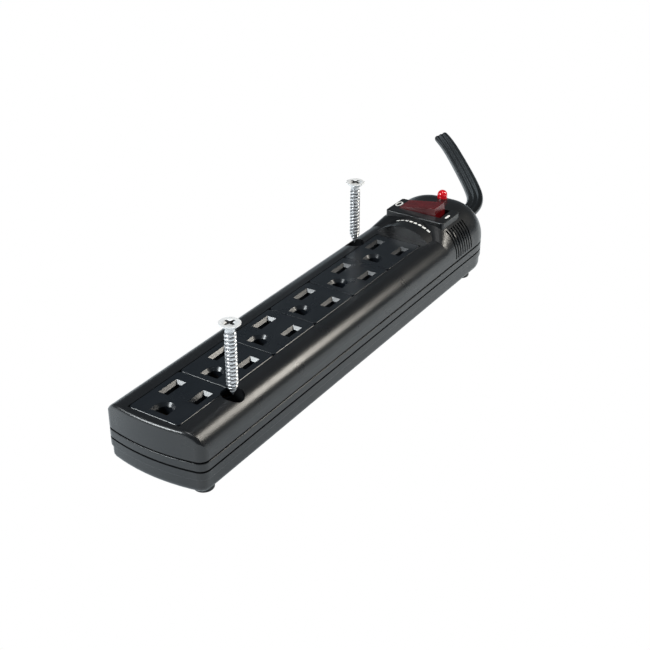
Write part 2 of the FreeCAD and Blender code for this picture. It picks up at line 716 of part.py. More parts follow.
def wire_line_in():
    """From the cord's middle core to the switch's middle terminal."""
    return round_tube([V(0, JACKET_Y0, EXIT_Z), V(0, 93.6, EXIT_Z), V(0.7, 91.0, BAR_Z0 - 1.0),
                       V(1.65, 88.4, BAR_Z0 - 2.0), V(1.65, 84.4, BAR_Z0 - 2.2)], WIRE_R)


def wire_line_switched():
    """From the switch's far terminal, under the surge board, to the line bar."""
    low = BAR_Z0 - 4.4
    return round_tube([V(-7.0, 83.6, low + 2.4), V(-3.5, 79.0, low + 0.6), V(3.0, 72.0, low),
                       V(6.2, 63.0, low), V(BLADE_X, 57.8, low + 0.1), V(BLADE_X, 57.8, BAR_Z0)], WIRE_R)


def side_wire(side, end_x, end_y):
    """From an outer core, round the switch, to the underside of a bus bar."""
    x = side * 17.2
    z = BAR_Z0
    return round_tube([V(side * 2.9, JACKET_Y0, EXIT_Z), V(side * 2.9, 94.0, EXIT_Z),
                       V(side * 8.0, 92.4, z + 1.4), V(side * 15.6, 91.0, z + 0.2),
                       V(x, 84.0, z - 0.6), V(x, 70.0, z - 1.4), V(side * 16.2, end_y + 4.0, z - 2.6),
                       V(side * 13.6, end_y, z - 3.4), V(end_x, end_y, z - 3.6), V(end_x, end_y, z)], WIRE_R)


# ---- cord entry ----
def oval_wire(y, z, w, h, r):
    """A rounded rectangle square to Y, centred on height z."""
    block = box(-w / 2, w / 2, y, y + 1, z - h / 2, z + h / 2)
    along = edges_where(block, lambda e: abs(middle(e).y - y - 0.5) < 0.01)
    faces = [f for f in block.makeFillet(r, along).Faces if abs(f.CenterOfMass.y - y) < 0.01]
    return faces[0].OuterWire


def strain_relief():
    """Jacket end, a collar inside the case, the neck through its wall and the taper outside."""
    collar_y1 = REAR_Y - 3.7
    collar_y0 = collar_y1 - 2.4
    jacket = flat_section(V(0, JACKET_Y0, EXIT_Z)).extrude(V(0, collar_y0 - JACKET_Y0 + 0.2, 0))
    collar = neck(collar_y0, collar_y1, 1.9)
    body = neck(collar_y1 - 0.2, REAR_Y + 0.4, 0.0)
    taper = Part.makeLoft([oval_wire(REAR_Y + 0.4, EXIT_Z, 12.6, 9.2, 4.0),
                           oval_wire(REAR_Y + RELIEF_OUT, EXIT_Z, 9.6, 4.8, 2.2)], True, True)
    return fuse_all([jacket, collar, body, taper])


def cord_clamp():
    z0 = EXIT_Z - 1.4
    bridge = box(-CLAMP_HALF_W, CLAMP_HALF_W, CLAMP_Y0, CLAMP_Y1, z0, CLAMP_TOP_Z)
    hollow = box(-4.4, 4.4, CLAMP_Y0 - 1.0, CLAMP_Y1 + 1.0, z0 - 1.0, EXIT_Z + CORD_T / 2 + 0.05)
    holes = [cyl_z(x, CLAMP_MID_Y, 1.3, z0 - 1.0, CLAMP_TOP_Z + 1.0) for x in (-CLAMP_SCREW_X, CLAMP_SCREW_X)]
    return bridge.cut([hollow] + holes)


def flat_section(at):
    """Outline of the three-core flat cord, as a face square to Y."""
    w = CORD_W / 2
    h = CORD_T / 2
    x, y, z = at
    return Part.Face(Part.Wire([
        line(V(x - w + h, y, z - h), V(x + w - h, y, z - h)),
        arc(V(x + w - h, y, z - h), V(x + w, y, z), V(x + w - h, y, z + h)),
        line(V(x + w - h, y, z + h), V(x - w + h, y, z + h)),
        arc(V(x - w + h, y, z + h), V(x - w, y, z), V(x - w + h, y, z - h)),
    ]))


def flat_tube(points):
    """The flat cord swept along a route, level from side to side all the way."""
    way = (points[1] - points[0]).normalize()
    face = flat_section(V(0, 0, 0))
    face.rotate(V(0, 0, 0), V(0, 0, 1), math.degrees(math.atan2(way.y, way.x)) - 90.0)
    face.translate(points[0])
    spine, radii = rounded_path(points)
    pipe = Part.BRepOffsetAPI.MakePipeShell(spine)
    pipe.setBiNormalMode(V(0, 0, 1))
    pipe.add(face.OuterWire)
    pipe.build()
    pipe.makeSolid()
    tube = pipe.shape()
    print("cord bend radii", [round(r, 1) for r in radii])
    print("tube volume over section times length", round(tube.Volume / (face.Area * spine.Length), 3))
    return tube


def coil_ring(r0, r1, z0, z1):
    return cyl_z(COIL_X, COIL_Y, r1, z0, z1).cut(cyl_z(COIL_X, COIL_Y, r0, z0 - 1, z1 + 1))


def largest(shape):
    return max(shape.Solids, key=lambda solid: solid.Volume)


def cord_lead():
    tube = flat_tube([V(*p) for p in LEAD_ROUTE])
    coil = cyl_z(COIL_X, COIL_Y, COIL_R_OUT, 0.0, COIL_Z1)
    relief = box(-CORD_W, CORD_W, REAR_Y, REAR_Y + RELIEF_OUT, 0.0, 2 * EXIT_Z)
    return largest(tube.cut([coil, relief]))


def cord_coil():
    ring = coil_ring(COIL_R_IN, COIL_R_OUT, COIL_Z0, COIL_Z1)
    return ring.makeFillet(1.6, ring.Edges)


def tail_points():
    points = []
    for angle, radius, z in TAIL_TURNS:
        a = math.radians(angle)
        points.append(V(COIL_X + radius * math.cos(a), COIL_Y + radius * math.sin(a), z))
    return points


def cord_tail():
    coil = coil_ring(COIL_R_IN, COIL_R_OUT, COIL_Z0, COIL_Z1)
    return largest(flat_tube(tail_points()).cut([coil, plug_body()]))


def cord_tie():
    """A strap round the coil's turns."""
    outer = box(COIL_R_IN - 1.2, COIL_R_OUT + 1.2, -TIE_W / 2, TIE_W / 2, 0.05, COIL_Z1 + 0.2 + TIE_T)
    room = box(COIL_R_IN - 0.4, COIL_R_OUT + 0.4, -TIE_W, TIE_W, 0.05 + TIE_T, COIL_Z1 + 0.2)
    strap = outer.cut(room)
    strap.rotate(V(0, 0, 0), V(0, 0, 1), TIE_ANGLE)
    strap.translate(V(COIL_X, COIL_Y, 0))
    return strap


def onto_coil(shape):
    """Place a plug part, made along +Y from the origin, at the end of the tail."""
    points = tail_points()
    way = points[-1] - points[-2]
    placed = shape.copy()
    placed.rotate(V(0, 0, 0), V(0, 0, 1), math.degrees(math.atan2(way.y, way.x)) - 90.0)
    placed.translate(points[-1])
    return placed


def plug_face_y():
    return PLUG_BACK + PLUG_L


def plug_body():
    y0 = PLUG_BACK
    y1 = plug_face_y()
    body = box(-PLUG_W / 2, PLUG_W / 2, y0, y1, -PLUG_H / 2, PLUG_H / 2)
    back = edges_where(body, lambda e: abs(middle(e).y - y0) < 0.01 and abs(middle(e).z) < 0.01)
    body = body.makeFillet(8.0, back)
    along = edges_where(body, lambda e: abs(abs(middle(e).z) - PLUG_H / 2) < 0.01 and middle(e).y < y1 - 0.01)
    body = body.makeFillet(1.5, along)
    relief = Part.makeLoft([oval_wire(0.0, 0.0, 10.0, 5.2, 2.3), oval_wire(y0 + 0.5, 0.0, 14.0, 10.0, 4.0)],
                           True, True)
    return onto_coil(body.fuse(relief).removeSplitter())


def plug_blades():
    y0 = plug_face_y()
    blades = []
    for z, width in ((6.35, 6.35), (-6.35, 7.9)):
        blade = box(PLUG_BLADE_X - width / 2, PLUG_BLADE_X + width / 2, y0, y0 + 17.0, z - 0.76, z + 0.76)
        end = edges_where(blade, lambda e: abs(middle(e).y - y0 - 17.0) < 0.01
                          and abs(middle(e).z - z) < 0.01)
        blades.append(onto_coil(blade.makeChamfer(1.4, end)))
    return Part.makeCompound(blades)


def plug_ground_pin():
    y0 = plug_face_y()
    pin = cyl_y(PLUG_PIN_X, 0, 2.4, y0, y0 + 18.0).fuse(Part.makeSphere(2.4, V(PLUG_PIN_X, y0 + 18.0, 0)))
    return onto_coil(pin.removeSplitter())


# ---- feet and screws ----
def rubber_foot(x, y):
    foot = cyl_z(x, y, FOOT_R, 0.0, CASE_BOTTOM_Z)
    rim = edges_where(foot, lambda e: abs(middle(e).z) < 0.01)
    return foot.makeFillet(0.7, rim)


def turned(profile):
    """A solid of revolution about Z from (radius, height) points."""
    corners = [V(r, 0, z) for r, z in profile]
    return Part.Face(Part.makePolygon(corners + [corners[0]])).revolve(V(0, 0, 0), V(0, 0, 1), 360)


def cross_recess(depth, reach, width, z):
    """A Phillips cross, tapering towards its bottom."""
    arms = []
    for turn in (0, 90):
        top = Part.makePolygon([V(-reach, -width / 2, z), V(reach, -width / 2, z), V(reach, width / 2, z),
                                V(-reach, width / 2, z), V(-reach, -width / 2, z)])
        low = Part.makePolygon([V(-0.5, -0.3, z - depth), V(0.5, -0.3, z - depth), V(0.5, 0.3, z - depth),
                                V(-0.5, 0.3, z - depth), V(-0.5, -0.3, z - depth)])
        arm = Part.makeLoft([low, top], True, True)
        arm.rotate(V(0, 0, 0), V(0, 0, 1), turn + 45)
        arms.append(arm)
    return fuse_all(arms)


def wood_screw():
    """Flat-head tapping screw, tip at the origin and head up."""
    neck_z = SCREW_L - SCREW_HEAD_H
    profile = [(0.0, 0.0), (0.5, 0.9)]
    turns = int((neck_z - 2.0) / SCREW_PITCH)
    for k in range(turns):
        z = 1.2 + k * SCREW_PITCH
        grow = min(1.0, (k + 0.8) / 3.0)
        profile.append((SCREW_CORE_R * grow * 0.96, z))
        profile.append((SCREW_THREAD_R * min(1.0, grow + 0.05), z + 0.75))
        profile.append((SCREW_THREAD_R * min(1.0, grow + 0.05), z + 0.95))
        profile.append((SCREW_CORE_R * min(1.0, grow + 0.1), z + 1.5))
    profile.append((SCREW_CORE_R, neck_z))
    profile.append((SCREW_HEAD_R - 0.1, SCREW_L - 0.45))
    profile.append((SCREW_HEAD_R, SCREW_L - 0.3))
    profile.append((SCREW_HEAD_R, SCREW_L - 0.1))
    profile.append((SCREW_HEAD_R - 0.25, SCREW_L))
    profile.append((0.0, SCREW_L))
    return turned(profile).cut(cross_recess(1.9, 2.5, 1.1, SCREW_L + 0.01))


def mounting_screw(end):
    x, y = WELLS[end]
    screw = wood_screw()
    screw.translate(V(x, y, SCREW_TIP_Z))
    return screw


def pan_screw(x, y, z, length, radius, head_r, up):
    """A small screw with its head at z. Its shank goes up, or down when up is False."""
    head = cyl_z(0, 0, head_r, 0.0, 1.3)
    head = head.makeFillet(0.5, edges_where(head, lambda e: abs(middle(e).z) < 0.01))
    shank = cyl_z(0, 0, radius, 1.3, 1.3 + length)
    recess = cross_recess(0.9, head_r * 0.6, 0.7, 0.01)
    recess.rotate(V(0, 0, 0), V(1, 0, 0), 180)
    screw = head.fuse(shank).removeSplitter().cut(recess)
    if not up:
        screw.rotate(V(0, 0, 0), V(1, 0, 0), 180)
    screw.translate(V(x, y, z))
    return screw


def case_screws():
    screws = [pan_screw(x, y, CASE_BOTTOM_Z + 0.25, CASE_SCREW_L, 1.08, 2.6, True) for x, y in POSTS]
    return Part.makeCompound(screws)


def clamp_screws():
    head_z = CLAMP_TOP_Z + 1.3
    return Part.makeCompound([pan_screw(x, CLAMP_MID_Y, head_z, CLAMP_SCREW_L, 1.25, 2.4, False)
                              for x in (-CLAMP_SCREW_X, CLAMP_SCREW_X)])


# ---- every node ----
NODES = {
    "top_cover": top_cover,
    "bottom_case": bottom_case,
    "case_screws": case_screws,
    "mounting_screw_front": lambda: mounting_screw("front"),
    "mounting_screw_rear": lambda: mounting_screw("rear"),
    "line_bus_bar": line_bus_bar,
    "neutral_bus_bar": neutral_bus_bar,
    "ground_bus_bar": ground_bus_bar,
    "switch_housing": switch_housing,
    "switch_rocker": switch_rocker,
    "switch_plunger": switch_plunger,
    "switch_spring": switch_spring,
    "switch_lever": switch_lever,
    "switch_terminals": switch_terminals,
    "neon_lamp": neon_lamp,
    "indicator_led": indicator_led,
    "surge_board": surge_board,
    "thermal_fuse": thermal_fuse,
    "resistor": resistor,
    "wire_line_in": wire_line_in,
    "wire_line_switched": wire_line_switched,
    "wire_neutral": lambda: side_wire(-1, -BLADE_X, 56.9),
    "wire_ground": lambda: side_wire(1, 0.0, 53.5),
    "strain_relief": strain_relief,
    "cord_clamp": cord_clamp,
    "clamp_screws": clamp_screws,
    "cord_lead": cord_lead,
    "cord_coil": cord_coil,
    "cord_tail": cord_tail,
    "cord_tie": cord_tie,
    "plug_body": plug_body,
    "plug_blades": plug_blades,
    "plug_ground_pin": plug_ground_pin,
}
for n in range(1, N_OUTLETS + 1):
    NODES[f"outlet_face_{n}"] = lambda n=n: outlet_face(n)
for n in (1, 2, 3):
    NODES[f"varistor_{n}"] = lambda n=n: varistor(n)
for name_y, foot_y in zip(("front", "rear"), FOOT_YS):
    for name_x, foot_x in (("left", -FOOT_X), ("right", FOOT_X)):
        NODES[f"foot_{name_y}_{name_x}"] = lambda x=foot_x, y=foot_y: rubber_foot(x, y)

os.makedirs("parts", exist_ok=True)
for name, make in NODES.items():
    shape = make()
    shape.exportStep(f"parts/{name}.step")
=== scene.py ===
import bpy
import bmesh
import json
import math
from mathutils import Matrix, Vector


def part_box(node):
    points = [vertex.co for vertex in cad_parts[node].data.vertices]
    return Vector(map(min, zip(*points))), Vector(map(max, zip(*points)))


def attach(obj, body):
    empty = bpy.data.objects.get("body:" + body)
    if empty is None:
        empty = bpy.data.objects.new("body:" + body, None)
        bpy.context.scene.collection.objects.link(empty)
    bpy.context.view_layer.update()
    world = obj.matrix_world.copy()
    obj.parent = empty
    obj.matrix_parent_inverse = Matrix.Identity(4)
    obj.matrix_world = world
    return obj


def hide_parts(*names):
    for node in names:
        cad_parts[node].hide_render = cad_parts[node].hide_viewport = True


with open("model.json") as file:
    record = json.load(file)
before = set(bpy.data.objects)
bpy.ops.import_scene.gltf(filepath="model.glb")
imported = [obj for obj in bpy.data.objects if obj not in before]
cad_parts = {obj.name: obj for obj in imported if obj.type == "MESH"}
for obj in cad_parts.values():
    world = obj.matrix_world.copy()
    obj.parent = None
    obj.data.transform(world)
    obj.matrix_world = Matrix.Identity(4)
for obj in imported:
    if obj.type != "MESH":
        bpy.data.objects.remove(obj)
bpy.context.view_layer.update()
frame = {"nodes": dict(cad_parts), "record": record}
NODES = frame["nodes"]
RECORD = frame["record"]
MM = 0.001


def V(x, y, z):
    """A point given in millimetres of the row frame."""
    return Vector((x * MM, y * MM, z * MM))


# ---- camera ----
AZIMUTH = 32.84
ELEVATION = 29.18
CAMERA_AT = (232.1, -360.9, 251.2)
VIEW_END_M = 0.711             # nothing farther off is drawn: the cord is cut off before its coil

cam_data = bpy.data.cameras.new("camera")
cam_data.sensor_width = 36.0
cam_data.lens = 64.88
cam_data.clip_start = 0.05
cam_data.clip_end = VIEW_END_M
cam = bpy.data.objects.new("camera", cam_data)
bpy.context.scene.collection.objects.link(cam)
bpy.context.scene.camera = cam
cam.location = V(*CAMERA_AT)
az, el = math.radians(AZIMUTH), math.radians(ELEVATION)
look = Vector((-math.sin(az) * math.cos(el), math.cos(az) * math.cos(el), -math.sin(el)))
cam.rotation_euler = look.to_track_quat("-Z", "Y").to_euler()


# ---- shared mesh helpers ----
def mesh_object(name, bm, sharp_deg=40.0):
    """Turns a bmesh into a linked object, smooth except over sharp edges."""
    bmesh.ops.recalc_face_normals(bm, faces=bm.faces)
    for face in bm.faces:
        face.smooth = True
    limit = math.radians(sharp_deg)
    for edge in bm.edges:
        if len(edge.link_faces) == 2 and edge.calc_face_angle(0.0) > limit:
            edge.smooth = False
    mesh = bpy.data.meshes.new(name)
    bm.to_mesh(mesh)
    bm.free()
    obj = bpy.data.objects.new(name, mesh)
    bpy.context.scene.collection.objects.link(obj)
    return obj


def bake_modifiers(obj):
    """Applies an object's modifiers to its mesh."""
    graph = bpy.context.evaluated_depsgraph_get()
    mesh = bpy.data.meshes.new_from_object(obj.evaluated_get(graph))
    obj.modifiers.clear()
    obj.data = mesh


def join_loops(bm, a, b):
    """Faces all the way round between two loops of vertices."""
    n = len(a)
    for k in range(n):
        after = (k + 1) % n
        bm.faces.new((a[k], a[after], b[after], b[k]))


def rings_to_mesh(bm, rings):
    """Skins a list of equal rings of points, and caps both ends."""
    rows = [[bm.verts.new(p) for p in ring] for ring in rings]
    for a, b in zip(rows, rows[1:]):
        join_loops(bm, a, b)
    bm.faces.new(rows[0][::-1])
    bm.faces.new(rows[-1])


def loops_to_hoop(bm, rows):
    """Skins loops of vertices in turn and the last back to the first, as a closed hoop."""
    for a, b in zip(rows, rows[1:] + rows[:1]):
        join_loops(bm, a, b)


# ---- the cord: one spline from the strain relief to the plug ----
LEAD = [
    (0.0, 128.0, 15.1),
    (0.0, 135.5, 15.1),
    (-4.2, 147.6, 14.9),
    (-12.8, 161.0, 13.9),
    (-23.5, 176.5, 12.1),
    (-36.0, 194.3, 9.8),
    (-49.0, 212.6, 7.4),
    (-62.5, 231.0, 5.2),
    (-77.5, 248.5, 3.8),
    (-94.0, 263.5, 2.3),
    (-109.0, 278.5, 1.9),
    (-116.0, 297.0, 1.9),
    (-114.5, 320.5, 2.1),
]
COIL_X, COIL_Y = -56.0, 336.7
COIL_START_DEG = 172.0
CORD_W, CORD_T = 8.4, 3.6
LOBE_STEP_DEG = 15
STEP_DEG = 20.0
RISE_FROM, RISE_SHARE = 0.55, 0.2      # share of a turn at which it climbs, and over which it does so
MOVE_FROM, MOVE_SHARE = 0.75, 0.25     # the same for its change of radius
TURN_PLAN = [                  # radius of each turn, and the height of its layer
    (53.1, 2.75),
    (44.6, 2.75),
    (36.1, 2.75),
    (44.6, 6.45),
    (53.1, 6.45),
]
TAIL = [                       # degrees round the coil, radius and height of each point up to the plug
    (152.0, 53.4, 7.4),
    (134.0, 50.0, 10.6),
    (116.0, 46.6, 14.0),
    (98.0, 44.4, 17.4),
    (80.0, 44.0, 19.05),
]


def round_coil(deg, radius, z):
    """A point at an angle round the coil's middle."""
    a = math.radians(deg)
    return (COIL_X + radius * math.cos(a), COIL_Y + radius * math.sin(a), z)


def smooth_step(t):
    """Rises gently from 0 to 1 as t does."""
    t = max(0.0, min(1.0, t))
    return t * t * (3 - 2 * t)


def coil_points():
    """Clockwise turns. Each changes to the next one's radius over its last quarter."""
    points = []
    steps = int(360 / STEP_DEG)
    grow = 1 / math.cos(math.radians(STEP_DEG / 2))
    for k, (radius, z) in enumerate(TURN_PLAN):
        last = k == len(TURN_PLAN) - 1
        next_radius, next_z = (radius, z) if last else TURN_PLAN[k + 1]
        for j in range(steps + (1 if last else 0)):
            share = j / steps
            rise = smooth_step((share - RISE_FROM) / RISE_SHARE)
            move = smooth_step((share - MOVE_FROM) / MOVE_SHARE)
            r = radius + (next_radius - radius) * move
            h = z + (next_z - z) * rise
            points.append(round_coil(COIL_START_DEG - 360.0 * share, r * grow, h))
    return points


def spline_points(points):
    """Points read along the NURBS spline that has these control points."""
    data = bpy.data.curves.new("cord_line", "CURVE")
    data.dimensions = "3D"
    data.resolution_u = 6
    spline = data.splines.new("NURBS")
    spline.points.add(len(points) - 1)
    for slot, p in zip(spline.points, points):
        slot.co = (*V(*p), 1.0)
    spline.order_u = 3
    spline.use_endpoint_u = True
    obj = bpy.data.objects.new("cord_line", data)
    bpy.context.scene.collection.objects.link(obj)
    bpy.context.view_layer.update()
    graph = bpy.context.evaluated_depsgraph_get()
    mesh = bpy.data.meshes.new_from_object(obj.evaluated_get(graph))
    line = [v.co.copy() for v in mesh.vertices]
    bpy.data.objects.remove(obj)
    return line


def flat_profile():
    """Cross-section of a flat cord with three cores: (across, up) in metres."""
    lobe = CORD_T / 2
    gap = (CORD_W - CORD_T) / 2
    arcs = ((gap, -60, 120), (0.0, 60, 120), (-gap, 60, 300), (0.0, 240, 300), (gap, 240, 285))
    outline = []
    for centre, first, last in arcs:
        for deg in range(first, last + 1, LOBE_STEP_DEG):
            a = math.radians(deg)
            outline.append(((centre + lobe * math.cos(a)) * MM, lobe * math.sin(a) * MM))
    return outline


BANK_DEG = 32.0
BANK_Y0, BANK_Y1 = 130.0, 262.0        # the lead leans over between these, as it comes down to the floor
BANK_IN, BANK_OUT = 35.0, 25.0         # the lengths over which it leans over and comes back


def bank(y):
    """How far the flat cord leans, its outer side up."""
    share = smooth_step((y - BANK_Y0) / BANK_IN) * smooth_step((BANK_Y1 - y) / BANK_OUT)
    return math.radians(BANK_DEG) * share


def sweep_flat(name, line, profile):
    """Sweeps the profile along the line, level from side to side but for the leaning lead."""
    rings = []
    up = Vector((0, 0, 1))
    for k, p in enumerate(line):
        ahead = (line[min(k + 1, len(line) - 1)] - line[max(k - 1, 0)]).normalized()
        side = ahead.cross(up).normalized()
        top = side.cross(ahead)
        lean = bank(p.y / MM)
        across = side * math.cos(lean) + top * math.sin(lean)
        above = top * math.cos(lean) - side * math.sin(lean)
        rings.append([p + across * x + above * z for x, z in profile])
    bm = bmesh.new()
    rings_to_mesh(bm, rings)
    return mesh_object(name, bm, sharp_deg=50.0)


cord_line = spline_points(LEAD + coil_points() + [round_coil(*p) for p in TAIL])
cord = sweep_flat("cord", cord_line, flat_profile())
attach(cord, "base")
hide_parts("cord_lead", "cord_coil", "cord_tail")


# ---- pieces on the cord ----
CORNER_STEPS = 6


def oval_ring(width, height, radius, at):
    """Points of a rounded rectangle, placed by the function at(across, up)."""
    ring = []
    for corner, (sx, sy) in enumerate(((1, 1), (-1, 1), (-1, -1), (1, -1))):
        for step in range(CORNER_STEPS + 1):
            a = math.radians(90 * (corner + step / CORNER_STEPS))
            ring.append(at(sx * (width / 2 - radius) + radius * math.cos(a),
                           sy * (height / 2 - radius) + radius * math.sin(a)))
    return ring


RELIEF_Y0, RELIEF_Y1 = 114.4, 128.0
RELIEF_Z = 15.1
RELIEF_ROOT = (12.6, 9.2, 4.0)         # width, height and corner radius at RELIEF_Y0
RELIEF_TIP = (9.6, 4.8, 2.2)           # and at RELIEF_Y1
RIB_YS = (116.6, 119.2, 121.8, 124.4, 127.0)
RIB_PROFILE = ((-0.75, -0.3), (-0.6, 0.3), (-0.3, 0.6), (0.3, 0.6), (0.6, 0.3), (0.75, -0.3))


def relief_ribs():
    """Ribs round the tapered strain relief, one closed ring of rubber for each."""
    bm = bmesh.new()
    for y in RIB_YS:
        rings = []
        for dy, grow in RIB_PROFILE:
            t = (y + dy - RELIEF_Y0) / (RELIEF_Y1 - RELIEF_Y0)
            width, height, radius = (a + (b - a) * t for a, b in zip(RELIEF_ROOT, RELIEF_TIP))
            rings.append(oval_ring(width + grow, height + grow, radius + grow / 2,
                                   lambda x, z: V(x, y + dy, RELIEF_Z + z)))
        rings_to_mesh(bm, rings)
    piece = mesh_object("relief_ribs", bm)
    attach(piece, "base")
    return piece


PLUG_AT = round_coil(*TAIL[-1])
PLUG_FROM = round_coil(*TAIL[-2])
PLUG_TURN = math.atan2(PLUG_AT[1] - PLUG_FROM[1], PLUG_AT[0] - PLUG_FROM[0]) - math.pi / 2
PLUG_HALF_H = 10.5
GRIP_YS = range(15, 36, 4)
GRIP_ENDS = ((-9.4, 0.15), (-9.0, 0.7), (-8.2, 1.0), (8.2, 1.0), (9.0, 0.7), (9.4, 0.15))
GRIP_HALF_W, GRIP_HALF_H = 0.9, 0.7
GRIP_SIDES = 12


def plug_grips():
    """Finger ridges across both flat sides of the plug."""
    bm = bmesh.new()
    for side in (-1, 1):
        for y in GRIP_YS:
            rings = []
            for x, size in GRIP_ENDS:
                ring = []
                for k in range(GRIP_SIDES):
                    a = 2 * math.pi * k / GRIP_SIDES
                    ring.append(V(x, y + GRIP_HALF_W * size * math.cos(a),
                                  side * PLUG_HALF_H + GRIP_HALF_H * size * math.sin(a)))
                rings.append(ring)
            rings_to_mesh(bm, rings)
    bmesh.ops.rotate(bm, verts=bm.verts, cent=(0, 0, 0), matrix=Matrix.Rotation(PLUG_TURN, 3, "Z"))
    bmesh.ops.translate(bm, verts=bm.verts, vec=V(*PLUG_AT))
    piece = mesh_object("plug_grips", bm)
    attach(piece, "base")
    return piece


TIE_DEG = 300.0
TIE_IN, TIE_OUT = 30.9, 58.3           # radii between which the strap goes round the turns
TIE_LOW, TIE_HIGH = 0.5, 9.1
TIE_CORNER = 2.0
TIE_SECTION = (                        # across the strap, then how far out its inner and outer sides stand
    (-4.5, -0.2, 0.15),
    (-4.3, -0.4, 0.4),
    (-2.2, -0.4, 0.42),
    (-1.9, -0.4, 0.25),
    (-1.6, -0.4, 0.42),
    (1.6, -0.4, 0.42),
    (1.9, -0.4, 0.25),
    (2.2, -0.4, 0.42),
    (4.3, -0.4, 0.4),
    (4.5, -0.2, 0.15),
)
BUCKLE_SIZE = (9.0, 11.0, 2.2)
BUCKLE_INSET, BUCKLE_RISE = 8.0, 0.9
BUCKLE_EDGE = 0.6


def strap_loop(bm, v, out):
    """The vertices of one loop round the turns, at a place across the strap."""
    mid_u, mid_z = (TIE_IN + TIE_OUT) / 2, (TIE_LOW + TIE_HIGH) / 2
    ring = oval_ring(TIE_OUT - TIE_IN + 2 * out, TIE_HIGH - TIE_LOW + 2 * out, TIE_CORNER + out,
                     lambda u, z: V(mid_u + u, v, mid_z + z))
    return [bm.verts.new(p) for p in ring]


def coil_strap():
    """The strap round the turns, with its grooves, and the buckle on top."""
    bm = bmesh.new()
    outer_rows = [strap_loop(bm, v, outer) for v, inner, outer in TIE_SECTION]
    inner_rows = [strap_loop(bm, v, inner) for v, inner, outer in TIE_SECTION]
    loops_to_hoop(bm, outer_rows + inner_rows[::-1])
    buckle = bmesh.ops.create_cube(bm, size=1.0)["verts"]
    bmesh.ops.scale(bm, verts=buckle, vec=V(*BUCKLE_SIZE))
    bmesh.ops.translate(bm, verts=buckle, vec=V(TIE_OUT - BUCKLE_INSET, 0.0, TIE_HIGH + BUCKLE_RISE))
    edges = list({e for v in buckle for e in v.link_edges})
    bmesh.ops.bevel(bm, geom=edges, offset=BUCKLE_EDGE * MM, segments=3, profile=0.5, affect="EDGES")
    turn = Matrix.Rotation(math.radians(TIE_DEG), 3, "Z")
    bmesh.ops.rotate(bm, verts=bm.verts, cent=(0, 0, 0), matrix=turn)
    bmesh.ops.translate(bm, verts=bm.verts, vec=V(COIL_X, COIL_Y, 0.0))
    piece = mesh_object("coil_strap", bm, sharp_deg=60.0)
    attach(piece, "base")
    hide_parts("cord_tie")
    return piece


ribs, grips, strap = relief_ribs(), plug_grips(), coil_strap()


# ---- materials ----
def new_material(name, colour, roughness, metallic=0.0, **sockets):
    """A plain surface. Other sockets are named with _ for each space."""
    mat = bpy.data.materials.new(name)
    mat.use_nodes = True
    bsdf = mat.node_tree.nodes["Principled BSDF"]
    bsdf.inputs["Base Color"].default_value = (*colour, 1.0)
    bsdf.inputs["Roughness"].default_value = roughness
    bsdf.inputs["Metallic"].default_value = metallic
    for key, value in sockets.items():
        bsdf.inputs[key.replace("_", " ")].default_value = value
    return mat


def noise_node(mat, scale, detail):
    """A noise laid through the object's own space."""
    tree = mat.node_tree
    coord = tree.nodes.new("ShaderNodeTexCoord")
    noise = tree.nodes.new("ShaderNodeTexNoise")
    noise.inputs["Scale"].default_value = scale
    noise.inputs["Detail"].default_value = detail
    tree.links.new(coord.outputs["Object"], noise.inputs["Vector"])
    return noise


def add_grain(mat, scale, distance):
    """A fine moulded grain in the surface."""
    tree = mat.node_tree
    noise = noise_node(mat, scale, 1.0)
    bump = tree.nodes.new("ShaderNodeBump")
    bump.inputs["Strength"].default_value = 1.0
    bump.inputs["Distance"].default_value = distance
    tree.links.new(noise.outputs["Fac"], bump.inputs["Height"])
    tree.links.new(bump.outputs["Normal"], tree.nodes["Principled BSDF"].inputs["Normal"])


def vary_roughness(mat, scale, low, high):
    """Makes the roughness wander between two values over the surface."""
    tree = mat.node_tree
    noise = noise_node(mat, scale, 3.0)
    ramp = tree.nodes.new("ShaderNodeMapRange")
    ramp.inputs["From Min"].default_value = 0.3
    ramp.inputs["From Max"].default_value = 0.7
    ramp.inputs["To Min"].default_value = low
    ramp.inputs["To Max"].default_value = high
    tree.links.new(noise.outputs["Fac"], ramp.inputs["Value"])
    tree.links.new(ramp.outputs["Result"], tree.nodes["Principled BSDF"].inputs["Roughness"])


def vary_colour(mat, scale, dark, light):
    """Makes the colour wander between two values over the surface."""
    tree = mat.node_tree
    noise = noise_node(mat, scale, 3.0)
    ramp = tree.nodes.new("ShaderNodeValToRGB")
    ramp.color_ramp.elements[0].position = 0.35
    ramp.color_ramp.elements[0].color = (*dark, 1.0)
    ramp.color_ramp.elements[1].position = 0.65
    ramp.color_ramp.elements[1].color = (*light, 1.0)
    tree.links.new(noise.outputs["Fac"], ramp.inputs["Fac"])
    tree.links.new(ramp.outputs["Color"], tree.nodes["Principled BSDF"].inputs["Base Color"])


def surface(name, colour, roughness, metallic=0.0, colours=None, rough=None, grain=None, **sockets):
    """A material. colours is (scale, dark, light), rough (scale, low, high), grain (scale, height)."""
    mat = new_material(name, colour, roughness, metallic, **sockets)
    if colours:
        vary_colour(mat, *colours)
    if rough:
        vary_roughness(mat, *rough)
    if grain:
        add_grain(mat, *grain)
    return mat


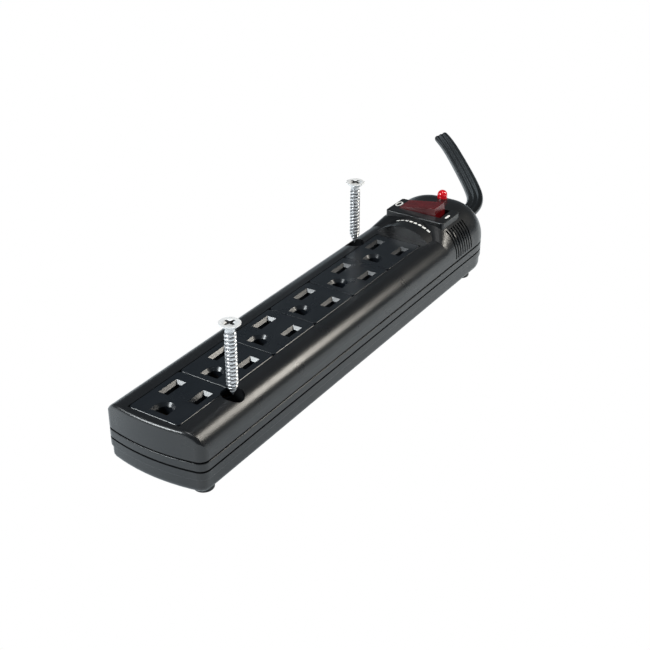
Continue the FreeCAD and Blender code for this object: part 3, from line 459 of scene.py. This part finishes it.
case_black = surface("case_black", (0.007, 0.008, 0.009), 0.3,
                     colours=(35, (0.006, 0.0065, 0.0075), (0.009, 0.0095, 0.0105)),
                     rough=(60, 0.27, 0.33), grain=(2600, 0.000012))
outlet_black = surface("outlet_black", (0.006, 0.008, 0.011), 0.3,
                       colours=(60, (0.005, 0.007, 0.010), (0.008, 0.010, 0.013)),
                       rough=(90, 0.26, 0.33), grain=(2200, 0.000005))
dark_nylon = surface("dark_nylon", (0.02, 0.02, 0.02), 0.5, rough=(200, 0.45, 0.55), grain=(1500, 0.00002))
brass = surface("brass", (0.75, 0.56, 0.25), 0.3, 1.0, rough=(300, 0.22, 0.38), grain=(900, 0.000006))
zinc = surface("zinc", (0.62, 0.62, 0.63), 0.3, 0.8, rough=(500, 0.26, 0.36), grain=(1800, 0.000006))
# A lighter, less metallic copy of the zinc for the screw heads: a painted highlight.
zinc_head_painted_highlight = surface("zinc_head_painted_highlight", (0.86, 0.86, 0.86), 0.4, 0.25, rough=(500, 0.34, 0.46),
                    grain=(1800, 0.000006))
# A dark copy of the zinc for the thread roots: painted shade.
zinc_root_painted_shade = surface("zinc_root_painted_shade", (0.12, 0.12, 0.125), 0.4, 0.8, rough=(500, 0.35, 0.5))
# Near-black for the walls of the driver cross in the screw heads: painted shade in the recess.
recess_painted_shade = surface("recess_painted_shade", (0.01, 0.01, 0.01), 0.7, rough=(500, 0.6, 0.8))
spring_wire = surface("spring_wire", (0.55, 0.55, 0.55), 0.3, 1.0, rough=(500, 0.25, 0.35))
rocker_red = surface("rocker_red", (0.095, 0.002, 0.004), 0.26,
                     colours=(240, (0.08, 0.0018, 0.0035), (0.115, 0.003, 0.005)), grain=(1200, 0.000008))
led_red = surface("led_red", (0.5, 0.004, 0.01), 0.12,
                  colours=(500, (0.42, 0.003, 0.008), (0.58, 0.008, 0.015)),
                  Emission_Strength=0.18, Emission_Color=(1.0, 0.015, 0.03, 1.0), Coat_Weight=0.6)
lamp_glass = surface("lamp_glass", (1.0, 0.6, 0.4), 0.1, rough=(400, 0.06, 0.14), Transmission_Weight=0.8)
board_green = surface("board_green", (0.03, 0.15, 0.05), 0.4,
                      colours=(300, (0.02, 0.11, 0.04), (0.04, 0.18, 0.06)))
varistor_blue = surface("varistor_blue", (0.03, 0.08, 0.35), 0.35,
                        colours=(300, (0.02, 0.06, 0.28), (0.04, 0.1, 0.4)))
ceramic = surface("ceramic", (0.6, 0.5, 0.35), 0.45, colours=(400, (0.5, 0.42, 0.3), (0.66, 0.56, 0.42)))
wire_black = surface("wire_black", (0.015, 0.015, 0.015), 0.35, rough=(300, 0.3, 0.42), grain=(900, 0.00001))
wire_white = surface("wire_white", (0.75, 0.75, 0.72), 0.4,
                     colours=(300, (0.7, 0.7, 0.66), (0.8, 0.8, 0.78)))
wire_green = surface("wire_green", (0.02, 0.2, 0.05), 0.4,
                     colours=(300, (0.015, 0.16, 0.04), (0.03, 0.24, 0.07)))
cord_black = surface("cord_black", (0.005, 0.0055, 0.006), 0.24,
                     colours=(50, (0.004, 0.0045, 0.005), (0.006, 0.0065, 0.007)),
                     rough=(80, 0.2, 0.28), grain=(1400, 0.000004), Specular_IOR_Level=0.28)
foot_rubber = surface("foot_rubber", (0.02, 0.02, 0.02), 0.6, rough=(300, 0.55, 0.7), grain=(1200, 0.00004))
tie_black = surface("tie_black", (0.02, 0.02, 0.02), 0.45, rough=(300, 0.4, 0.5), grain=(1500, 0.00003))
white_ink = surface("white_ink", (0.85, 0.85, 0.83), 0.5,
                    colours=(900, (0.72, 0.72, 0.7), (0.9, 0.9, 0.88)))

BY_SLOT = {
    "case_plastic": case_black,
    "outlet_plastic": outlet_black,
    "screw_steel": zinc,
    "contact_brass": brass,
    "switch_plastic": dark_nylon,
    "rocker_plastic": rocker_red,
    "spring_steel": spring_wire,
    "lamp_glass": lamp_glass,
    "led_plastic": led_red,
    "board": board_green,
    "varistor_coat": varistor_blue,
    "fuse_body": ceramic,
    "line_insulation": wire_black,
    "neutral_insulation": wire_white,
    "ground_insulation": wire_green,
    "cord_vinyl": cord_black,
    "tie_plastic": tie_black,
    "foot_rubber": foot_rubber,
}
for part in RECORD["subparts"]:
    mesh = NODES[part["node"]].data
    mesh.materials.clear()
    mesh.materials.append(BY_SLOT[part["material_slot"]])
for piece in (cord, ribs, grips):
    piece.data.materials.append(cord_black)
strap.data.materials.append(tie_black)


# ---- mounting screws ----
SCREW_L = 29.0
HEAD_R = 4.05
HEAD_H = 2.4
CORE_R = 1.72
THREAD_R = 2.2
PITCH = 1.55
TIP_R, TIP_L = 0.25, 5.0       # the point, and the length over which the shank grows from it
SCREW_SIDES = 40
ROWS_PER_PITCH = 14
NECK_Z = SCREW_L - HEAD_H      # where the shank meets the head
POINT_FADE = 1.2               # length over which the thread grows from the point
NECK_CLEAR, NECK_FADE = 0.4, 1.6       # how far short of the neck it ends, and the length it fades over
ROOT_BELOW_NECK = 0.6          # the painted shade in the thread roots stops this far under the neck
ROOT_CREST = 0.3               # and takes in what stands lower than this on the thread
HEAD_ABOVE_NECK = 0.3          # the lighter zinc copy, a painted highlight on the head, starts this far over the neck
HEAD_PROFILE = (               # radius and height, from under the head to its flat top
    (CORE_R + 0.25, NECK_Z + 0.25),
    (HEAD_R - 0.35, SCREW_L - 0.62),
    (HEAD_R - 0.05, SCREW_L - 0.36),
    (HEAD_R, SCREW_L - 0.25),
    (HEAD_R, SCREW_L - 0.12),
    (HEAD_R - 0.1, SCREW_L - 0.03),
    (HEAD_R - 0.3, SCREW_L),
)
CROSS_TURN = -12.0             # how the driver cross stands, in degrees
CROSS_PROFILE = (              # reach and half width of each arm, and its height
    (0.5, 0.16, SCREW_L - 1.9),
    (0.95, 0.36, SCREW_L - 1.3),
    (2.3, 0.52, SCREW_L + 0.1),
)
SHANK, SHADED_ROOT, LIT_HEAD = 0, 1, 2    # a screw's material slots: plain zinc, painted shade in the thread roots, and the head's painted highlight


def thread_crest(z, turn):
    """0 in the root of the thread and 1 on its crest, at a height and a share of a turn."""
    phase = (z / PITCH - turn) % 1.0
    return smooth_step(abs(phase - 0.5) / 0.3)


def thread_radius(z, turn):
    """Radius of the screw's shank at a height and a share of a turn."""
    tip = smooth_step(z / TIP_L) ** 0.7
    core = TIP_R + (CORE_R - TIP_R) * tip
    fade = smooth_step(z / POINT_FADE) * smooth_step((NECK_Z - NECK_CLEAR - z) / NECK_FADE)
    height = (THREAD_R - CORE_R) * (0.45 + 0.55 * tip)
    return core + height * thread_crest(z, turn) * fade


def screw_metal(middle):
    """The material slot of a face of the screw, from the face's middle: the thread roots take a dark copy of
    the zinc as painted shade, and the head a lighter copy as a painted highlight.
    """
    z = middle.z / MM
    if z > NECK_Z + HEAD_ABOVE_NECK:
        return LIT_HEAD
    turn = (math.atan2(middle.y, middle.x) / (2 * math.pi)) % 1.0
    # faces low in the thread take the dark copy: painted shade in the roots
    in_shaded_root = thread_crest(z, turn) < ROOT_CREST and z < NECK_Z - ROOT_BELOW_NECK
    return SHADED_ROOT if in_shaded_root else SHANK


def screw_ring(radius_at, z):
    """One ring of the screw's skin. radius_at gives the radius at a share of a turn."""
    ring = []
    for k in range(SCREW_SIDES):
        turn = k / SCREW_SIDES
        a = 2 * math.pi * turn
        r = radius_at(turn)
        ring.append(V(r * math.cos(a), r * math.sin(a), z))
    return ring


def screw_body(name):
    """Threaded shank and flat head in one closed skin, tip at z = 0."""
    bm = bmesh.new()
    rows = int(NECK_Z / PITCH * ROWS_PER_PITCH)
    rings = []
    for j in range(rows + 1):
        z = NECK_Z * j / rows
        rings.append(screw_ring(lambda turn: thread_radius(z, turn), z))
    for r, z in HEAD_PROFILE:
        rings.append(screw_ring(lambda turn: r, z))
    rings_to_mesh(bm, rings)
    # painted shade in the thread roots, and a painted highlight on the head
    for face in bm.faces:
        face.material_index = screw_metal(face.calc_center_median())
    return mesh_object(name, bm, sharp_deg=35.0)


def cross_tool():
    """A tapered driver cross with its wide end just above the head. Its near-black stays on the walls it
    cuts: painted shade in the recess.
    """
    bm = bmesh.new()
    rings = []
    for reach, half, z in CROSS_PROFILE:
        ring = []
        for quarter in range(4):
            a = math.radians(90 * quarter + CROSS_TURN)
            out = Vector((math.cos(a), math.sin(a), 0))
            across = Vector((-math.sin(a), math.cos(a), 0))
            inner = half * 1.25
            for x, y in ((reach, -half), (reach + 0.12, 0.0), (reach, half), (inner, inner)):
                p = out * x + across * y
                ring.append(V(p.x, p.y, z))
        rings.append(ring)
    rings_to_mesh(bm, rings)
    tool = mesh_object("cross_tool", bm)
    # painted shade for the recess it cuts
    tool.data.materials.append(recess_painted_shade)
    return tool


def mounting_screw(end):
    """A detailed screw in place of the CAD one, with the driver cross cut into its head."""
    node = "mounting_screw_" + end
    low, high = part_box(node)
    screw = screw_body("wood_screw_" + end)
    # plain zinc, its painted-shade copy for the thread roots and its painted-highlight copy for the head
    for metal in (zinc, zinc_root_painted_shade, zinc_head_painted_highlight):
        screw.data.materials.append(metal)
    tool = cross_tool()
    cut = screw.modifiers.new("cross", "BOOLEAN")
    cut.operation = "DIFFERENCE"
    cut.solver = "EXACT"
    # the cut's walls keep the tool's near-black: painted shade in the cross recess
    cut.material_mode = "TRANSFER"
    cut.object = tool
    bpy.context.view_layer.update()
    bake_modifiers(screw)
    bpy.data.objects.remove(tool)
    middle = (low + high) / 2
    screw.data.transform(Matrix.Translation((middle.x, middle.y, low.z)))
    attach(screw, "screw_" + end)
    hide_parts(node)


for end in ("front", "rear"):
    mounting_screw(end)


# ---- white marks ----
PLATFORM_TOP = 33.7
MARK_H = 0.06
PLATE_ROOT, MARK_ROOT = 0.02, 0.03     # how far a flat mark and a dash reach into the surface
RING_X, RING_Y = -12.9, 82.7
RING_RX, RING_RY, RING_LINE = 1.5, 2.7, 0.62
RING_SIDES = 36
BAR_X, BAR_Y = 13.0, 81.6
BAR_HALF_L, BAR_R = 1.5, 0.55
HOOD_R, HOOD_AXIS_Z = 19.4, 13.1
DASHES, DASH_STEPS = 8, 3
DASH_X0, DASH_Y = -6.4, 70.3
DASH_L, DASH_HALF_W, DASH_PITCH = 1.55, 0.6, 2.25


def off_mark():
    """An open ring on the left ear."""
    bm = bmesh.new()
    rows = []
    for grow, rise in ((0.0, -PLATE_ROOT), (0.0, MARK_H),
                       (-RING_LINE, MARK_H), (-RING_LINE, -PLATE_ROOT)):
        row = []
        for k in range(RING_SIDES):
            a = 2 * math.pi * k / RING_SIDES
            row.append(bm.verts.new(V(RING_X + (RING_RX + grow) * math.cos(a),
                                      RING_Y + (RING_RY + grow) * math.sin(a), PLATFORM_TOP + rise)))
        rows.append(row)
    loops_to_hoop(bm, rows)
    return mesh_object("off_mark", bm)


def on_mark():
    """A plain bar with round ends on the right ear."""
    bm = bmesh.new()
    outline = []
    for y, start in ((BAR_HALF_L, 0), (-BAR_HALF_L, 180)):
        for deg in range(start, start + 181, 30):
            a = math.radians(deg)
            outline.append((BAR_X + BAR_R * math.cos(a), BAR_Y + y + BAR_R * math.sin(a)))
    rings_to_mesh(bm, [[V(x, y, PLATFORM_TOP + rise) for x, y in outline]
                       for rise in (-PLATE_ROOT, MARK_H)])
    return mesh_object("on_mark", bm)


def hood_marks():
    """A dashed line of equal dashes that follows the hood's arch."""
    corners = ((-DASH_HALF_W, -MARK_ROOT), (DASH_HALF_W, -MARK_ROOT),
               (DASH_HALF_W, MARK_H), (-DASH_HALF_W, MARK_H))
    bm = bmesh.new()
    for k in range(DASHES):
        x0 = DASH_X0 + DASH_PITCH * k
        rings = []
        for step in range(DASH_STEPS + 1):
            x = x0 + (step / DASH_STEPS - 0.5) * DASH_L
            z = HOOD_AXIS_Z + math.sqrt(HOOD_R ** 2 - x * x)
            rings.append([V(x, DASH_Y + y, z + rise) for y, rise in corners])
        rings_to_mesh(bm, rings)
    return mesh_object("hood_marks", bm)


for mark in (off_mark(), on_mark(), hood_marks()):
    mark.data.materials.append(white_ink)
    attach(mark, "base")


# ---- light ----
def area_light(name, towards, distance, width, height, power, colour, aim=(0.0, 0.0, 0.02), rise=(0, 0, 1)):
    """A soft box in a direction from the object, facing it, with its height along rise."""
    data = bpy.data.lights.new(name, "AREA")
    data.shape = "RECTANGLE"
    data.size = width
    data.size_y = height
    data.energy = power
    data.color = colour
    obj = bpy.data.objects.new(name, data)
    bpy.context.scene.collection.objects.link(obj)
    back = Vector(towards).normalized()
    side = Vector(rise).cross(back).normalized()
    up = back.cross(side)
    turn = Matrix((side, up, back)).transposed().to_4x4()
    obj.matrix_world = Matrix.Translation(Vector(aim) + back * distance) @ turn


FRONT = (0.0, -0.09, 0.02)
CORD = (-0.03, 0.18, 0.01)
WARM, COOL, BLUISH, WHITE = (1.0, 0.95, 0.86), (0.93, 0.98, 1.0), (0.8, 0.92, 1.0), (1.0, 1.0, 1.0)
area_light("rear_right", (0.49, 0.66, 0.49), 0.54, 0.1, 0.2, 1.5, WARM, FRONT, (-0.6, 0.0, 0.8))
area_light("front_left", (-0.47, -0.68, 0.57), 0.5, 0.2, 0.13, 2.7, COOL, FRONT)
area_light("cord_sheen", (-0.745, 0.6, 0.29), 0.4, 0.1, 0.1, 0.03, BLUISH, CORD)
area_light("overhead", (0.1, -0.1, 1.0), 1.3, 0.5, 0.5, 5.0, WHITE)

scene = bpy.context.scene
scene.view_settings.view_transform = "Standard"
scene.view_settings.look = "None"


# ---- surroundings: plain white to the camera ----
def white_to_camera(tree, white_type, shader, output):
    """Shows plain white to the camera, and the shader to every other ray."""
    white = tree.nodes.new(white_type)
    white.inputs["Color"].default_value = (*WHITE, 1.0)
    white.inputs["Strength"].default_value = 1.0
    path = tree.nodes.new("ShaderNodeLightPath")
    mix = tree.nodes.new("ShaderNodeMixShader")
    tree.links.new(path.outputs["Is Camera Ray"], mix.inputs["Fac"])
    tree.links.new(shader, mix.inputs[1])
    tree.links.new(white.outputs[0], mix.inputs[2])
    tree.links.new(mix.outputs["Shader"], output)


def studio_world():
    """A dim bluish room."""
    world = bpy.data.worlds.new("studio")
    scene.world = world
    world.use_nodes = True
    tree = world.node_tree
    room = tree.nodes["Background"]
    room.inputs["Color"].default_value = (*BLUISH, 1.0)
    room.inputs["Strength"].default_value = 0.12
    white_to_camera(tree, "ShaderNodeBackground", room.outputs["Background"],
                    tree.nodes["World Output"].inputs["Surface"])


def pale_floor():
    """A plain pale floor, which also throws light up onto the object."""
    bm = bmesh.new()
    bmesh.ops.create_grid(bm, x_segments=8, y_segments=8, size=3.0)
    floor = mesh_object("floor", bm)
    mat = surface("floor_white", (0.8, 0.8, 0.8), 0.9, colours=(2, (0.79, 0.79, 0.79), (0.81, 0.81, 0.81)),
                  Emission_Strength=0.32, Emission_Color=(0.62, 0.84, 1.0, 1.0))
    tree = mat.node_tree
    white_to_camera(tree, "ShaderNodeEmission", tree.nodes["Principled BSDF"].outputs["BSDF"],
                    tree.nodes["Material Output"].inputs["Surface"])
    floor.data.materials.append(mat)


studio_world()
pale_floor()
